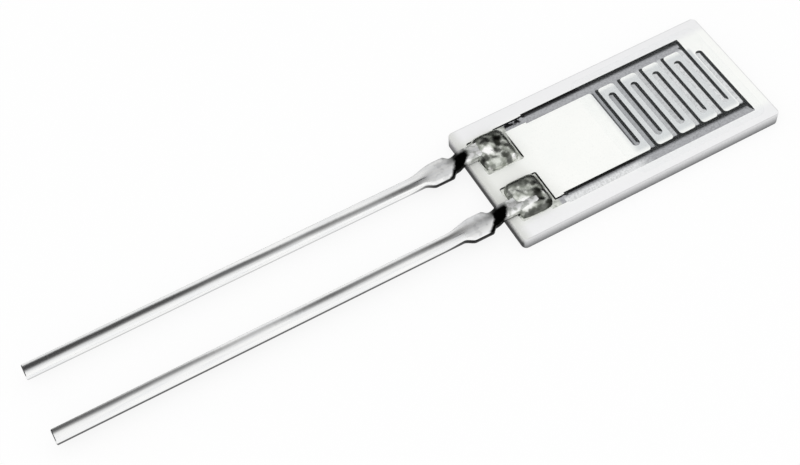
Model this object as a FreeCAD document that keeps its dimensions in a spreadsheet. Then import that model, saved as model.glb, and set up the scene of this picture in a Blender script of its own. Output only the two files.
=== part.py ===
import FreeCAD, Part
import os
import Sketcher

# Bare humidity-sensing element: a printed ceramic plate with two soldered flat leads.
# Millimetres. The origin is the middle of the plate's underside. +Z is up, through the
# printed face, and +X runs along the plate, away from the leads.
# "left" is the +Y side and "right" the -Y side, seen from the leads.

# Every size that can be set by itself: its name, its value and what it measures.
SIZES = [
    ("plate_length", 10.0, "ceramic plate, along the leads"),
    ("plate_width", 5.0, "ceramic plate, across the leads"),
    ("plate_thick", 0.5, "ceramic plate, thickness"),
    ("plate_corner", 0.18, "radius of the plate's four corners in plan"),
    ("plate_edge", 0.03, "radius worn on the plate's long thin edges"),
    ("pad_thick", 0.02, "thickness of the solder pad print"),
    ("pad_length", 1.4, "solder pad, along the leads"),
    ("pad_width", 1.5, "solder pad, across the leads"),
    ("pad_setback", 0.35, "from the plate's lead end to the pads"),
    ("pad_apart", 0.66, "bare ceramic between the two pads"),
    ("tail_width", 0.32, "width of the pad's tail"),
    ("tail_inset", 0.06, "from the bar's outer edge in to the tail's outer edge"),
    ("left_tail", 0.8, "length of the left pad's tail"),
    ("right_tail", 0.33, "length of the right pad's tail"),
    ("electrode_thick", 0.03, "thickness of the comb print"),
    ("lap", 0.12, "how far the comb print laps over a pad's tail"),
    ("bar_margin", 0.54, "from the plate's long edge to a comb's bar"),
    ("bar_width", 0.44, "width of a comb's bar"),
    ("finger_width", 0.27, "width of a finger"),
    ("finger_gap", 0.175, "bare stripe between neighbouring fingers"),
    ("finger_count", 5, "fingers on each comb"),
    ("finger_end_gap", 0.35, "from a finger's tip to the other comb's bar"),
    ("comb_margin", 0.645, "from the plate's far end to the last finger"),
    ("comb_round", 0.12, "radius where a finger meets its bar"),
    ("film_cover", 0.02, "thickness of the film above the comb print"),
    ("film_end_margin", 0.3, "from the plate's far end to the film"),
    ("film_side_margin", 0.26, "from the plate's long edges to the film"),
    ("film_reach", 0.5, "how far the film runs on before the first finger"),
    ("film_corner", 0.35, "radius of the film's corners in plan"),
    ("lead_pitch", 2.54, "between the middles of the two leads"),
    ("lead_thick", 0.25, "thickness of the lead strip"),
    ("leg_width", 0.5, "width of a lead's leg"),
    ("leg_length", 15.67, "from the plate's lead end to the leg's tip"),
    ("leg_drop", 0.17, "how far the leg lies below the tongue"),
    ("joggle_radius", 0.15, "inside radius of the joggle's two bends"),
    ("joggle_gap", 0.05, "from the plate's lead end to the joggle"),
    ("tongue_width", 0.55, "width of the tongue that is soldered down"),
    ("tongue_reach", 1.2, "from the plate's lead end to the tongue's tip"),
    ("shoulder_width", 0.86, "width of the lead's shoulder"),
    ("shoulder_setback", 0.02, "straight strip between the joggle and the shoulder's rounding"),
    ("shoulder_front", 0.13, "length of the shoulder's taper at the joggle"),
    ("shoulder_flat", 0.68, "length of the shoulder at full width"),
    ("shoulder_back", 0.36, "length of the shoulder's taper at the leg"),
    ("shoulder_round", 0.1, "radius of the shoulder's corners in plan"),
    ("solder_length", 1.34, "solder mound, along the lead"),
    ("solder_width", 1.44, "solder mound, across the lead"),
    ("solder_height", 0.45, "solder mound, above the pad"),
    ("solder_angle", 35.0, "degrees of the mound's ellipsoid left out at its foot"),
]

# Places that several pieces share, worked out from the sizes.
LEAD_END = "(-Sizes.plate_length / 2)"
FAR_END = "(Sizes.plate_length / 2)"
PAD_START = f"({LEAD_END} + Sizes.pad_setback)"
PAD_END = f"({PAD_START} + Sizes.pad_length)"
PAD_INNER = "(Sizes.pad_apart / 2)"
PAD_OUTER = f"({PAD_INNER} + Sizes.pad_width)"
BAR_OUTER = "(Sizes.plate_width / 2 - Sizes.bar_margin)"
BAR_INNER = f"({BAR_OUTER} - Sizes.bar_width)"
TAIL_OUTER = f"({BAR_OUTER} - Sizes.tail_inset)"
TAIL_INNER = f"({TAIL_OUTER} - Sizes.tail_width)"
FINGER_STEP = "(Sizes.finger_width + Sizes.finger_gap)"
COMB_END = f"({FAR_END} - Sizes.comb_margin)"
COMB_START = f"({COMB_END} - 2 * Sizes.finger_count * {FINGER_STEP} + Sizes.finger_gap)"
FINGER_TIP = f"({BAR_INNER} - Sizes.finger_end_gap)"
PAD_TOP = "(Sizes.plate_thick + Sizes.pad_thick)"
JOGGLE_MIDDLE = "(Sizes.joggle_radius + Sizes.lead_thick / 2)"
JOGGLE_RUN = f"sqrt(Sizes.leg_drop * (4 * {JOGGLE_MIDDLE} - Sizes.leg_drop))"
SHOULDER_RISE = "((Sizes.shoulder_width - Sizes.tongue_width) / 2)"
FRONT_TAPER = f"sqrt(Sizes.shoulder_front ^ 2 + {SHOULDER_RISE} ^ 2)"
ROUNDING_REACH = f"(Sizes.shoulder_round * ({FRONT_TAPER} - Sizes.shoulder_front) / {SHOULDER_RISE})"
FOOT_SINE = "sin(Sizes.solder_angle)"
FOOT_COSINE = "cos(Sizes.solder_angle)"
MOUND_RADIUS = f"(Sizes.solder_height / (1 - {FOOT_SINE}))"

# Places closer than this are the same place.
TOUCH = 1e-6


def make_sheet(doc):
    """Spreadsheet with one row for each driving size."""
    sheet = doc.addObject("Spreadsheet::Sheet", "Sizes")
    for row, (name, number, words) in enumerate(SIZES, start=1):
        sheet.set(f"A{row}", name)
        sheet.set(f"B{row}", str(number))
        sheet.set(f"C{row}", words)
        sheet.setAlias(f"B{row}", name)
    doc.recompute()
    return sheet


def make_body(doc, name, x="0", y="0", z="0"):
    """Empty body that carries its own label, with its place bound to the sizes."""
    body = doc.addObject("PartDesign::Body", name)
    body.Label = name
    for axis, expression in (("x", x), ("y", y), ("z", z)):
        body.setExpression(f"Placement.Base.{axis}", expression)
    return body


def new_sketch(body, name, plane):
    """Empty sketch on one of the body's own origin planes."""
    sketch = body.newObject("Sketcher::SketchObject", name)
    support = [item for item in body.Origin.OriginFeatures if item.Role == plane][0]
    sketch.AttachmentSupport = (support, [""])
    sketch.MapMode = "FlatFace"
    return sketch


def bind(sketch, name, constraint, expression):
    """Adds a constraint and ties its value to an expression on the sizes."""
    index = sketch.addConstraint(constraint)
    sketch.renameConstraint(index, name)
    sketch.setExpression(f"Constraints.{name}", expression)


def add_outline(sketch, label, points):
    """Closed outline of straight lines. Each point is a pair of expressions."""
    corners = []
    for across, along in points:
        corners.append(FreeCAD.Vector(sketch.evalExpression(across), sketch.evalExpression(along), 0))
    first = sketch.GeometryCount
    for start, end in zip(corners, corners[1:] + corners[:1]):
        sketch.addGeometry(Part.LineSegment(start, end), False)
    for number, (across, along) in enumerate(points):
        line = first + number
        following = first + (number + 1) % len(points)
        sketch.addConstraint(Sketcher.Constraint("Coincident", line, 2, following, 1))
        corner = corners[number]
        across_pin = Sketcher.Constraint("DistanceX", -1, 1, line, 1, corner.x)
        along_pin = Sketcher.Constraint("DistanceY", -1, 1, line, 1, corner.y)
        bind(sketch, f"{label}{number}_x", across_pin, across)
        bind(sketch, f"{label}{number}_y", along_pin, along)


def box_points(left, right, low, high):
    """Corner expressions of a rectangle."""
    return [(left, low), (right, low), (right, high), (left, high)]


def add_pad(body, name, sketch, length):
    """Solid made by raising a sketch."""
    pad = body.newObject("PartDesign::Pad", name)
    pad.Profile = sketch
    pad.setExpression("Length", length)
    sketch.Visibility = False
    return pad


def corner_edges(shape, wanted):
    """Names of a shape's upright edges whose x and y satisfy the test."""
    names = []
    for number, edge in enumerate(shape.Edges, start=1):
        start = edge.Vertexes[0].Point
        end = edge.Vertexes[-1].Point
        upright = abs(start.x - end.x) < TOUCH and abs(start.y - end.y) < TOUCH
        if upright and abs(start.z - end.z) > TOUCH and wanted(start.x, start.y):
            names.append(f"Edge{number}")
    return names


def level_edges(shape):
    """Names of all edges that lie flat in the top and bottom faces."""
    names = []
    for number, edge in enumerate(shape.Edges, start=1):
        heights = [vertex.Z for vertex in edge.Vertexes]
        if max(heights) - min(heights) < TOUCH:
            names.append(f"Edge{number}")
    return names


def add_fillet(body, name, base, edges, radius):
    """Rounds the named edges of a body's last feature."""
    fillet = body.newObject("PartDesign::Fillet", name)
    fillet.Base = (base, edges)
    fillet.setExpression("Radius", radius)
    return fillet


def make_substrate(doc):
    """White ceramic plate with small round corners and slightly worn edges."""
    body = make_body(doc, "ceramic_substrate")
    outline = new_sketch(body, "plate_outline", "XY_Plane")
    points = box_points(LEAD_END, FAR_END, "-Sizes.plate_width / 2", "Sizes.plate_width / 2")
    add_outline(outline, "corner", points)
    plate = add_pad(body, "plate", outline, "Sizes.plate_thick")
    doc.recompute()
    corners = corner_edges(plate.Shape, lambda x, y: True)
    rounded = add_fillet(body, "plate_corners", plate, corners, "Sizes.plate_corner")
    doc.recompute()
    add_fillet(body, "plate_edges", rounded, level_edges(rounded.Shape), "Sizes.plate_edge")
    return body


def make_solder_pad(doc, side_name, side):
    """Printed square that the lead is soldered to, with its tail towards the comb."""
    body = make_body(doc, f"{side_name}_solder_pad", z="Sizes.plate_thick")
    square = new_sketch(body, f"{side_name}_square", "XY_Plane")
    square_points = box_points(PAD_START, PAD_END, f"{side} * {PAD_INNER}", f"{side} * {PAD_OUTER}")
    add_outline(square, "corner", square_points)
    add_pad(body, f"{side_name}_square_print", square, "Sizes.pad_thick")
    tail = new_sketch(body, f"{side_name}_tail", "XY_Plane")
    tail_start = f"({PAD_END} - Sizes.tail_width)"
    tail_end = f"({PAD_END} + Sizes.{side_name}_tail)"
    tail_points = [
        (tail_start, f"{side} * {PAD_INNER}"),
        (PAD_END, f"{side} * {PAD_INNER}"),
        (PAD_END, f"{side} * {TAIL_INNER}"),
        (tail_end, f"{side} * {TAIL_INNER}"),
        (tail_end, f"{side} * {TAIL_OUTER}"),
        (tail_start, f"{side} * {TAIL_OUTER}"),
    ]
    add_outline(tail, "corner", tail_points)
    add_pad(body, f"{side_name}_tail_print", tail, "Sizes.pad_thick")
    return body


def arc_ends(sketch, number, point):
    """Which end of an arc lies at the point, then which doesn't."""
    at_start = (sketch.getPoint(number, 1) - point).Length < TOUCH
    return (1, 2) if at_start else (2, 1)


def add_finger(body, side_name, side, start):
    """First finger of a comb, from the middle of its bar to its round tip."""
    sketch = new_sketch(body, f"{side_name}_finger", "XY_Plane")
    end = f"({start} + Sizes.finger_width)"
    root = f"{side} * ({BAR_INNER} + Sizes.bar_width / 2)"
    tip_middle = f"{side} * (-{FINGER_TIP} + Sizes.finger_width / 2)"
    left, right, top, low = [sketch.evalExpression(text) for text in (start, end, root, tip_middle)]
    tip = FreeCAD.Vector((left + right) / 2, low - side * (right - left) / 2, 0)
    left_root = FreeCAD.Vector(left, top, 0)
    left_end = FreeCAD.Vector(left, low, 0)
    right_root = FreeCAD.Vector(right, top, 0)
    right_end = FreeCAD.Vector(right, low, 0)
    sketch.addGeometry(Part.LineSegment(left_end, left_root), False)
    sketch.addGeometry(Part.LineSegment(left_root, right_root), False)
    sketch.addGeometry(Part.LineSegment(right_root, right_end), False)
    sketch.addGeometry(Part.Arc(left_end, tip, right_end), False)
    arc_left, arc_right = arc_ends(sketch, 3, left_end)
    sketch.addConstraint(Sketcher.Constraint("Coincident", 0, 2, 1, 1))
    sketch.addConstraint(Sketcher.Constraint("Coincident", 1, 2, 2, 1))
    sketch.addConstraint(Sketcher.Constraint("Tangent", 2, 2, 3, arc_right))
    sketch.addConstraint(Sketcher.Constraint("Tangent", 3, arc_left, 0, 1))
    sketch.addConstraint(Sketcher.Constraint("Vertical", 0))
    sketch.addConstraint(Sketcher.Constraint("Vertical", 2))
    sketch.addConstraint(Sketcher.Constraint("Horizontal", 1))
    bind(sketch, "finger_left", Sketcher.Constraint("DistanceX", -1, 1, 0, 1, left), start)
    bind(sketch, "finger_right", Sketcher.Constraint("DistanceX", -1, 1, 2, 2, right), end)
    bind(sketch, "finger_root", Sketcher.Constraint("DistanceY", -1, 1, 0, 2, top), root)
    bind(sketch, "tip_middle", Sketcher.Constraint("DistanceY", -1, 1, 3, 3, low), tip_middle)
    return add_pad(body, f"{side_name}_finger_print", sketch, "Sizes.electrode_thick")


def make_comb(doc, side_name, side, fingers_start, bar_end):
    """Comb print: a bar, its lap over the pad's tail and a row of round-tipped fingers."""
    body = make_body(doc, f"{side_name}_comb_electrode", z="Sizes.plate_thick")
    bar_start = f"({PAD_END} + Sizes.{side_name}_tail)"
    bar = new_sketch(body, f"{side_name}_bar", "XY_Plane")
    bar_points = box_points(bar_start, bar_end, f"{side} * {BAR_INNER}", f"{side} * {BAR_OUTER}")
    add_outline(bar, "corner", bar_points)
    add_pad(body, f"{side_name}_bar_print", bar, "Sizes.electrode_thick")

    step = new_sketch(body, f"{side_name}_lap", "XZ_Plane")
    lap_top = "(Sizes.pad_thick + Sizes.electrode_thick)"
    step_points = [
        (f"{bar_start} - Sizes.lap", "Sizes.pad_thick"),
        (f"{bar_start} - Sizes.lap", lap_top),
        (f"{bar_start} + Sizes.lap", lap_top),
        (f"{bar_start} + Sizes.lap", "0"),
        (bar_start, "0"),
        (bar_start, "Sizes.pad_thick"),
    ]
    add_outline(step, "step", step_points)
    step.setExpression("AttachmentOffset.Base.z", f"-{side} * ({TAIL_INNER} + Sizes.tail_width / 2)")
    lap = add_pad(body, f"{side_name}_lap_print", step, "Sizes.tail_width")
    lap.Midplane = True

    finger = add_finger(body, side_name, side, fingers_start)
    doc.recompute()
    row = body.newObject("PartDesign::LinearPattern", f"{side_name}_fingers")
    row.Originals = [finger]
    x_axis = [item for item in body.Origin.OriginFeatures if item.Role == "X_Axis"][0]
    row.Direction = (x_axis, [""])
    row.setExpression("Occurrences", "Sizes.finger_count")
    row.setExpression("Length", f"2 * {FINGER_STEP} * (Sizes.finger_count - 1)")
    body.Tip = row
    doc.recompute()

    inner = side * body.evalExpression(BAR_INNER)
    first = body.evalExpression(fingers_start) - TOUCH
    last = body.evalExpression(bar_end) - TOUCH
    roots = corner_edges(row.Shape, lambda x, y: abs(y - inner) < TOUCH and first < x < last)
    add_fillet(body, f"{side_name}_finger_roots", row, roots, "Sizes.comb_round")
    return body


def make_film(doc, left_comb, right_comb):
    """Clear film over the comb, hollowed underneath by the two comb prints."""
    block = make_body(doc, "film_block", z="Sizes.plate_thick")
    outline = new_sketch(block, "film_outline", "XY_Plane")
    side = "(Sizes.plate_width / 2 - Sizes.film_side_margin)"
    start = f"({COMB_START} - Sizes.film_reach)"
    end = f"({FAR_END} - Sizes.film_end_margin)"
    add_outline(outline, "corner", box_points(start, end, f"-{side}", side))
    layer = add_pad(block, "film_layer", outline, "Sizes.electrode_thick + Sizes.film_cover")
    doc.recompute()
    corners = corner_edges(layer.Shape, lambda x, y: True)
    add_fillet(block, "film_corners", layer, corners, "Sizes.film_corner")
    over_left = doc.addObject("Part::Cut", "film_over_left")
    over_left.Base = block
    over_left.Tool = left_comb
    film = doc.addObject("Part::Cut", "humidity_film")
    film.Label = "humidity_film"
    film.Base = over_left
    film.Tool = right_comb
    return film


def add_lead_path(body, side_name):
    """Middle line of the strip, seen from the side: tongue, two equal bends, leg."""
    path = new_sketch(body, f"{side_name}_lead_path", "XZ_Plane")
    level = path.evalExpression("Sizes.lead_thick / 2")
    drop = path.evalExpression("Sizes.leg_drop")
    reach = path.evalExpression("Sizes.tongue_reach")
    gap = path.evalExpression("Sizes.joggle_gap")
    length = path.evalExpression("Sizes.leg_length")
    middle = path.evalExpression(JOGGLE_MIDDLE)
    run = path.evalExpression(JOGGLE_RUN)
    tongue_tip = FreeCAD.Vector(reach, level, 0)
    bend_top = FreeCAD.Vector(-gap, level, 0)
    halfway = FreeCAD.Vector(-gap - run / 2, level - drop / 2, 0)
    bend_foot = FreeCAD.Vector(-gap - run, level - drop, 0)
    leg_tip = FreeCAD.Vector(-length, level - drop, 0)
    upper_middle = bend_top - FreeCAD.Vector(0, middle, 0)
    lower_middle = bend_foot + FreeCAD.Vector(0, middle, 0)
    upper_arch = (bend_top + halfway - upper_middle * 2).normalize() * middle
    path.addGeometry(Part.LineSegment(tongue_tip, bend_top), False)
    path.addGeometry(Part.Arc(bend_top, upper_middle + upper_arch, halfway), False)
    path.addGeometry(Part.Arc(halfway, lower_middle - upper_arch, bend_foot), False)
    path.addGeometry(Part.LineSegment(bend_foot, leg_tip), False)
    upper_start, upper_end = arc_ends(path, 1, bend_top)
    lower_start, lower_end = arc_ends(path, 2, halfway)
    path.addConstraint(Sketcher.Constraint("Horizontal", 0))
    path.addConstraint(Sketcher.Constraint("Horizontal", 3))
    path.addConstraint(Sketcher.Constraint("Tangent", 0, 2, 1, upper_start))
    path.addConstraint(Sketcher.Constraint("Tangent", 1, upper_end, 2, lower_start))
    path.addConstraint(Sketcher.Constraint("Tangent", 2, lower_end, 3, 1))
    path.addConstraint(Sketcher.Constraint("Equal", 1, 2))
    bind(path, "bend_radius", Sketcher.Constraint("Radius", 1, middle), JOGGLE_MIDDLE)
    bind(path, "tongue_tip", Sketcher.Constraint("DistanceX", -1, 1, 0, 1, reach), "Sizes.tongue_reach")
    bind(path, "bend_start", Sketcher.Constraint("DistanceX", -1, 1, 0, 2, -gap), "-Sizes.joggle_gap")
    bind(path, "tongue_level", Sketcher.Constraint("DistanceY", -1, 1, 0, 1, level), "Sizes.lead_thick / 2")
    bind(path, "leg_tip", Sketcher.Constraint("DistanceX", -1, 1, 3, 2, -length), "-Sizes.leg_length")
    leg_level = Sketcher.Constraint("DistanceY", -1, 1, 3, 2, level - drop)
    bind(path, "leg_level", leg_level, "Sizes.lead_thick / 2 - Sizes.leg_drop")
    return path


def make_lead(doc, side_name, side):
    """Flat lead: a joggled strip, blanked to a tongue, a shoulder and a narrow leg."""
    body = make_body(doc, f"{side_name}_lead", LEAD_END, f"{side} * Sizes.lead_pitch / 2", PAD_TOP)
    path = add_lead_path(body, side_name)
    section = new_sketch(body, f"{side_name}_lead_section", "YZ_Plane")
    section.setExpression("AttachmentOffset.Base.z", "Sizes.tongue_reach")
    half_strip = "(Sizes.shoulder_width / 2)"
    add_outline(section, "corner", box_points(f"-{half_strip}", half_strip, "0", "Sizes.lead_thick"))
    strip = body.newObject("PartDesign::AdditivePipe", f"{side_name}_strip")
    strip.Profile = section
    strip.Spine = path

    neck = f"(-Sizes.joggle_gap - {JOGGLE_RUN} - Sizes.shoulder_setback - {ROUNDING_REACH})"
    front = f"({neck} - Sizes.shoulder_front)"
    back = f"({front} - Sizes.shoulder_flat)"
    leg = f"({back} - Sizes.shoulder_back)"
    past_tongue = "(Sizes.tongue_reach + Sizes.shoulder_width)"
    past_leg = "(-Sizes.leg_length - Sizes.shoulder_width)"
    blank = new_sketch(body, f"{side_name}_blanking", "XY_Plane")
    for edge_name, edge in (("left", 1), ("right", -1)):
        half_tongue = f"{edge} * Sizes.tongue_width / 2"
        half_shoulder = f"{edge} * {half_strip}"
        half_leg = f"{edge} * Sizes.leg_width / 2"
        outside = f"{edge} * Sizes.shoulder_width"
        beside_tongue = [
            (past_tongue, half_tongue), (neck, half_tongue), (front, half_shoulder),
            (front, outside), (past_tongue, outside),
        ]
        beside_leg = [
            (past_leg, half_leg), (leg, half_leg), (back, half_shoulder),
            (back, outside), (past_leg, outside),
        ]
        add_outline(blank, f"{edge_name}_tongue", beside_tongue)
        add_outline(blank, f"{edge_name}_leg", beside_leg)
    doc.recompute()
    whole = strip.Shape.Volume
    cut = body.newObject("PartDesign::Pocket", f"{side_name}_blank")
    cut.Profile = blank
    cut.Type = "ThroughAll"
    cut.Midplane = True
    blank.Visibility = False
    doc.recompute()
    if cut.Shape.Volume > whole - TOUCH:
        raise RuntimeError(f"{side_name} lead was not blanked to its outline")

    ends = [body.evalExpression(text) for text in (leg, neck)]
    corners = corner_edges(cut.Shape, lambda x, y: ends[0] - TOUCH < x < ends[1] + TOUCH)
    add_fillet(body, f"{side_name}_shoulder_corners", cut, corners, "Sizes.shoulder_round")
    return body


def make_solder_joint(doc, side_name, side, lead):
    """Solder mound on the pad, hollowed by the tongue that runs into it."""
    mound = doc.addObject("Part::Ellipsoid", f"{side_name}_mound")
    mound.setExpression("Radius1", MOUND_RADIUS)
    mound.setExpression("Radius2", f"Sizes.solder_length / 2 / {FOOT_COSINE}")
    mound.setExpression("Radius3", f"Sizes.solder_width / 2 / {FOOT_COSINE}")
    mound.setExpression("Angle1", "Sizes.solder_angle")
    mound.setExpression("Placement.Base.x", f"{PAD_START} + Sizes.pad_length / 2")
    mound.setExpression("Placement.Base.y", f"{side} * ({PAD_INNER} + Sizes.pad_width / 2)")
    mound.setExpression("Placement.Base.z", f"{PAD_TOP} - {MOUND_RADIUS} * {FOOT_SINE}")
    joint = doc.addObject("Part::Cut", f"{side_name}_solder_joint")
    joint.Label = f"{side_name}_solder_joint"
    joint.Base = mound
    joint.Tool = lead
    return joint


def check_document(doc, pieces):
    """Stops with a plain message if anything in the document failed."""
    for item in doc.Objects:
        for state in item.State:
            if state in ("Invalid", "Error"):
                raise RuntimeError(f"{item.Name} is {state}")
    for piece in pieces:
        shape = piece.Shape
        if shape.isNull() or not shape.isValid():
            raise RuntimeError(f"{piece.Label} has no valid shape")
        if len(shape.Solids) != 1:
            raise RuntimeError(f"{piece.Label} has {len(shape.Solids)} solids, not one")


def main():
    doc = FreeCAD.newDocument("humidity_sensor")
    make_sheet(doc)
    substrate = make_substrate(doc)
    left_pad = make_solder_pad(doc, "left", 1)
    right_pad = make_solder_pad(doc, "right", -1)
    left_bar_end = f"({COMB_END} - {FINGER_STEP})"
    left_comb = make_comb(doc, "left", 1, COMB_START, left_bar_end)
    right_comb = make_comb(doc, "right", -1, f"({COMB_START} + {FINGER_STEP})", COMB_END)
    film = make_film(doc, left_comb, right_comb)
    left_lead = make_lead(doc, "left", 1)
    right_lead = make_lead(doc, "right", -1)
    left_joint = make_solder_joint(doc, "left", 1, left_lead)
    right_joint = make_solder_joint(doc, "right", -1, right_lead)
    doc.recompute()

    pieces = [
        substrate, left_pad, right_pad, left_comb, right_comb, film,
        left_lead, right_lead, left_joint, right_joint,
    ]
    check_document(doc, pieces)
    os.makedirs("parts", exist_ok=True)
    for piece in pieces:
        piece.Shape.exportStep(f"parts/{piece.Label}.step")
        box = piece.Shape.BoundBox
        print(f"{piece.Label}: {piece.Shape.Volume:.4f} mm3, "
              f"X {box.XMin:.3f} to {box.XMax:.3f}, Y {box.YMin:.3f} to {box.YMax:.3f}, "
              f"Z {box.ZMin:.3f} to {box.ZMax:.3f}")


main()
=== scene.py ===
# %% [markdown]
# # Dressing a humidity-sensing element
# The construction is already packed: a ceramic plate, two printed pads, two printed combs, a clear
# film, two flat leads and two solder joints. This lesson gives them the look of the real thing.
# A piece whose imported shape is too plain, such as a sharp-edged lead, gets a finer mesh that stands
# for it in the same place. The frame is loaded first, because every place below is read from it.

# %% Load the frame
import math

import bmesh
import bpy
from mathutils import Matrix, Vector, noise


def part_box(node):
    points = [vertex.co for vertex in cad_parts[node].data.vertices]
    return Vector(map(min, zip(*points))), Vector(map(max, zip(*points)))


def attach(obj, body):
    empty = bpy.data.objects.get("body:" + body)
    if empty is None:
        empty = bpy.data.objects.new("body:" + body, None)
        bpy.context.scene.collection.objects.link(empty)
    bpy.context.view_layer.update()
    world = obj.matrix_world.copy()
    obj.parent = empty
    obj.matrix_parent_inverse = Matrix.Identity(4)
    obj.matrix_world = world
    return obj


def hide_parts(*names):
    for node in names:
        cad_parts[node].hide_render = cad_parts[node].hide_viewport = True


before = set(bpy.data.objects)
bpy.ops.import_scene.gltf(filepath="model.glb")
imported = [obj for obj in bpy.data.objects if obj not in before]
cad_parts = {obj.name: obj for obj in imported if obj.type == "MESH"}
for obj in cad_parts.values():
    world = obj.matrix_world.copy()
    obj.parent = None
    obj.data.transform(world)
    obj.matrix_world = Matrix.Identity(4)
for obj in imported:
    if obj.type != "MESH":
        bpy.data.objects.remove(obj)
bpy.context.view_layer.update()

print("packed nodes:", sorted(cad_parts))

# %% [markdown]
# ## Work in millimetres
# The plate is ten millimetres long and its print is a few hundredths of a millimetre thick. In
# metres such numbers come close to the smallest lengths that mesh tools tell apart, so a bevel or
# an inset can fail. Every mesh is therefore modelled in millimetres and scaled once, at the end.

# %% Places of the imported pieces, in millimetres
MM = 0.001


def box_mm(node):
    """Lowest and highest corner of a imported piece, in millimetres."""
    low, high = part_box(node)
    return low / MM, high / MM


plate_low, plate_high = box_mm("ceramic_substrate")
PLATE_TOP = plate_high.z
LEAD_END = plate_low.x
FAR_END = plate_high.x
SIDES = {"left": 1, "right": -1}
print(f"plate: {plate_high.x - plate_low.x:.2f} x {plate_high.y - plate_low.y:.2f} mm")

# %% [markdown]
# ## The camera
# A photograph's perspective can be worked out from things of known size: here the plate's corners
# and the tips of the leads. The result is kept as an azimuth round the object, an elevation above
# the table, a small roll, a distance and the point looked at, which say more than a matrix does.

# %% Aim the camera
IMAGE_WIDTH = 800
FOCAL_LENGTH = 1466
AZIMUTH = -24.03
ELEVATION = 55.97
ROLL = -5.77
DISTANCE = 47.72
LOOK_AT = Vector((LEAD_END - 3.102, 0.155, 0))
SENSOR = 36.0


def aim_camera():
    """Camera at the photograph's place. FOCAL_LENGTH is in pixels of an 800 pixel wide image."""
    azimuth = math.radians(AZIMUTH)
    elevation = math.radians(ELEVATION)
    back = Vector((math.sin(azimuth), -math.cos(azimuth), math.tan(elevation))).normalized()
    right = Vector((math.cos(azimuth), math.sin(azimuth), 0))
    level = Matrix((right, back.cross(right), back)).transposed()
    turned = level @ Matrix.Rotation(math.radians(ROLL), 3, "Z")
    data = bpy.data.cameras.new("camera")
    data.sensor_width = SENSOR
    data.lens = SENSOR * FOCAL_LENGTH / IMAGE_WIDTH
    data.clip_start = MM
    camera = bpy.data.objects.new("camera", data)
    camera.matrix_world = Matrix.Translation((LOOK_AT + back * DISTANCE) * MM) @ turned.to_4x4()
    bpy.context.collection.objects.link(camera)
    bpy.context.scene.camera = camera
    return camera


print("camera stands at", aim_camera().location)

# %% [markdown]
# ## Node recipes that read like sums
# A material is a network of nodes. Adding each node and each link by hand hides the idea, so a
# small class wraps a socket and lets Python's own signs work on it: `1 - mask` adds a Math node.
# Every other kind of node comes from one method, which sets the node up and then fills its sockets.

# %% The recipe helper
class Wire:
    """An output socket that can stand in a Python sum."""

    def __init__(self, recipe, socket):
        self.recipe = recipe
        self.socket = socket

    def sum(self, operation, first, second):
        """Adds a Math node that works on two wires or numbers."""
        return self.recipe.node("Math", {"operation": operation}, {0: first, 1: second})

    def __add__(self, other):
        return self.sum("ADD", self, other)

    def __radd__(self, other):
        return self.sum("ADD", other, self)

    def __sub__(self, other):
        return self.sum("SUBTRACT", self, other)

    def __rsub__(self, other):
        return self.sum("SUBTRACT", other, self)

    def __mul__(self, other):
        return self.sum("MULTIPLY", self, other)

    def __rmul__(self, other):
        return self.sum("MULTIPLY", other, self)

    def size(self):
        """The value without its sign."""
        return self.sum("ABSOLUTE", self, 0.0)


class Recipe:
    """The nodes of one material or of the world."""

    def __init__(self, tree):
        self.tree = tree
        tree.nodes.clear()

    def node(self, kind, settings=None, sockets=None, output=0):
        """Adds a node: first its settings, then the values or wires of its sockets."""
        node = self.tree.nodes.new("ShaderNode" + kind)
        for name, value in (settings or {}).items():
            setattr(node, name, value)
        for name, value in (sockets or {}).items():
            if isinstance(value, Wire):
                self.tree.links.new(value.socket, node.inputs[name])
            else:
                node.inputs[name].default_value = value
        return Wire(self, node.outputs[output]) if node.outputs else node


print("recipe helper ready")

# %% [markdown]
# ## Words that every finish uses
# Colours are given as picture levels from 0 to 255, but sockets take linear light, so one
# function turns levels into light. Noise is named by the size of its spots on the real piece, and
# a ramp fades from one place to another. All patterns read Object coordinates, so they stay fixed
# to the piece from every side. The Mix node has sockets of the same name for numbers and for
# colours, so those for colours are picked by their numbers.

# %% Colours, spots and ramps
DISPLAY_CURVE = 2.2
MIX_FACTOR = 0
MIX_FIRST = 6
MIX_SECOND = 7
MIX_RESULT = 2


def colour(red, green, blue):
    """Linear colour, from picture levels of 0 to 255."""
    return [(level / 255) ** DISPLAY_CURVE for level in (red, green, blue)] + [1.0]


def place_of(recipe):
    """A piece's own coordinates, in metres."""
    return recipe.node("TexCoord", output="Object")


def axes_of(recipe, vector):
    """The three parts of a vector."""
    return [recipe.node("SeparateXYZ", sockets={0: vector}, output=name) for name in "XYZ"]


def measures_of(recipe, place):
    """A place in millimetres: along the plate, across it and up."""
    return [part * (1 / MM) for part in axes_of(recipe, place)]


def normal_of(recipe):
    """The three parts of the surface's own direction."""
    return axes_of(recipe, recipe.node("NewGeometry", output="Normal"))


def spots(recipe, place, size, detail=2.0, stretch=(1, 1, 1)):
    """Soft noise from 0 to 1 whose spots are about size millimetres across."""
    scale = [1 / (size * MM * long) for long in stretch]
    spread = recipe.node("Mapping", sockets={"Vector": place, "Scale": scale})
    return recipe.node("TexNoise", sockets={"Vector": spread, "Scale": 1.0, "Detail": detail})


def ramp(recipe, value, start, end, low=0.0, high=1.0):
    """Fades smoothly from low to high while the value goes from start to end."""
    sockets = {"Value": value, "From Min": start, "From Max": end, "To Min": low, "To Max": high}
    return recipe.node("MapRange", {"interpolation_type": "SMOOTHSTEP"}, sockets)


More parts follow.
